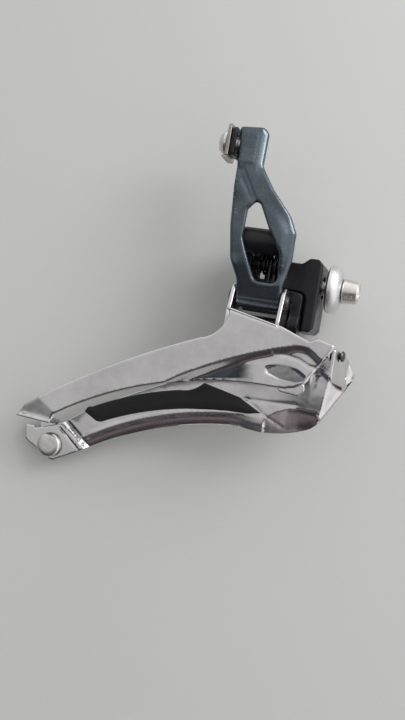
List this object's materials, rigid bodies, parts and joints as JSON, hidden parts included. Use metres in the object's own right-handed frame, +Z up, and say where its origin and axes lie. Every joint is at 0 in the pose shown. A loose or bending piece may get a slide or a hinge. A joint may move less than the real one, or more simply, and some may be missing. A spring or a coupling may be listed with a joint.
{
  "type": "front derailleur",
  "caption": "Braze-on front derailleur: a sprung parallelogram linkage with a long windowed cable arm moves a two-plate steel chain cage between chainrings.",
  "frame": {"origin": "on the clamp bolt's axis, 0.9 mm in front of the bracket's clamp face", "axes": "+X forwards, along the clamp bolt towards its head; +Y inboard, towards the seat tube; +Z up, from the cage towards the cable bolt"},
  "size_m": [0.1059, 0.0386, 0.1159],
  "materials": {
    "black_paint": "satin black",
    "slate_paint": "satin slate grey",
    "sheet_steel": "bright nickel-plated pressed sheet",
    "pin_steel": "polished",
    "bolt_steel": "stainless, warm grey",
    "spring_steel": "drawn wire, lightly oiled",
    "washer_alloy": "satin silver",
    "nylon": "black nylon",
    "resin": "matte black"
  },
  "bodies": {
    "bracket": {"bracket_body": "black_paint", "limit_screw_plate": "nylon", "outer_upper_pin": "pin_steel", "outer_upper_bush_rear": "nylon", "outer_upper_bush_front": "nylon", "inner_upper_pin": "pin_steel", "spring_sleeve": "nylon", "return_spring": "spring_steel"},
    "outer_link": {"outer_link_arm": "slate_paint", "cable_converter": "black_paint", "outer_lower_bush_rear": "nylon", "outer_lower_bush_front": "nylon"},
    "inner_link": {"inner_link": "black_paint", "inner_upper_bush": "nylon", "inner_lower_bush_rear": "nylon", "inner_lower_bush_front": "nylon"},
    "cage": {"outer_plate": "sheet_steel", "inner_plate": "sheet_steel", "bridge_rivet": "pin_steel", "skid_pad": "resin", "tail_screw": "sheet_steel", "outer_lower_pin": "pin_steel", "inner_lower_pin": "pin_steel"},
    "clamp_washer": {"clamp_washer": "washer_alloy"},
    "clamp_bolt": {"clamp_bolt": "bolt_steel"},
    "cable_plate": {"cable_plate": "bolt_steel"},
    "cable_bolt": {"cable_bolt": "bolt_steel"},
    "low_limit_screw": {"low_limit_screw": "bolt_steel"},
    "high_limit_screw": {"high_limit_screw": "bolt_steel"},
    "support_bolt": {"support_bolt": "bolt_steel"}
  },
  "joints": [
    {"name": "outer_link_hinge", "type": "hinge", "parent": "bracket", "child": "outer_link", "pos_m": [0, -0.0205, 0.01], "axis": [-1, 0, 0], "range_deg": [0, 38], "stiffness_Nm_per_rad": 0.15, "springref_deg": -45.84},
    {"name": "inner_link_hinge", "type": "hinge", "parent": "bracket", "child": "inner_link", "pos_m": [0, -0.0105, 0.004], "axis": [-1, 0, 0], "range_deg": [0, 38], "deforming": ["return_spring"]},
    {"name": "cage_hinge", "type": "hinge", "parent": "outer_link", "child": "cage", "pos_m": [0, -0.0195, -0.008], "axis": [1, 0, 0], "range_deg": [0, 38]},
    {"name": "clamp_washer_slide", "type": "slide", "parent": "bracket", "child": "clamp_washer", "axis": [1, 0, 0], "range_m": [0, 0.0024]},
    {"name": "clamp_bolt_turn", "type": "hinge", "parent": "clamp_washer", "child": "clamp_bolt", "pos_m": [0, 0, 0], "axis": [1, 0, 0], "range_deg": [0, 1080]},
    {"name": "cable_plate_slide", "type": "slide", "parent": "outer_link", "child": "cable_plate", "axis": [-1, 0, 0], "range_m": [0, 0.0024]},
    {"name": "cable_bolt_turn", "type": "hinge", "parent": "cable_plate", "child": "cable_bolt", "pos_m": [0, -0.022, 0.039], "axis": [-1, 0, 0], "range_deg": [0, 1080]},
    {"name": "low_limit_screw_turn", "type": "hinge", "parent": "bracket", "child": "low_limit_screw", "pos_m": [-0.0217, -0.0055, 0.01], "axis": [0, 0, 1], "range_deg": [-360, 360]},
    {"name": "high_limit_screw_turn", "type": "hinge", "parent": "bracket", "child": "high_limit_screw", "pos_m": [-0.0217, -0.0155, 0.01], "axis": [0, 0, 1], "range_deg": [-360, 360]},
    {"name": "support_bolt_turn", "type": "hinge", "parent": "bracket", "child": "support_bolt", "pos_m": [-0.0094, 0, -0.0088], "axis": [0, 1, 0], "range_deg": [-360, 360]}
  ],
  "couplings": [
    {"joint": "inner_link_hinge", "follows": "outer_link_hinge", "ratio": 1},
    {"joint": "cage_hinge", "follows": "outer_link_hinge", "ratio": 1},
    {"joint": "clamp_bolt_turn", "follows": "clamp_washer_slide", "rad_per_m": 7853.9},
    {"joint": "cable_bolt_turn", "follows": "cable_plate_slide", "rad_per_m": 7853.9}
  ]
}
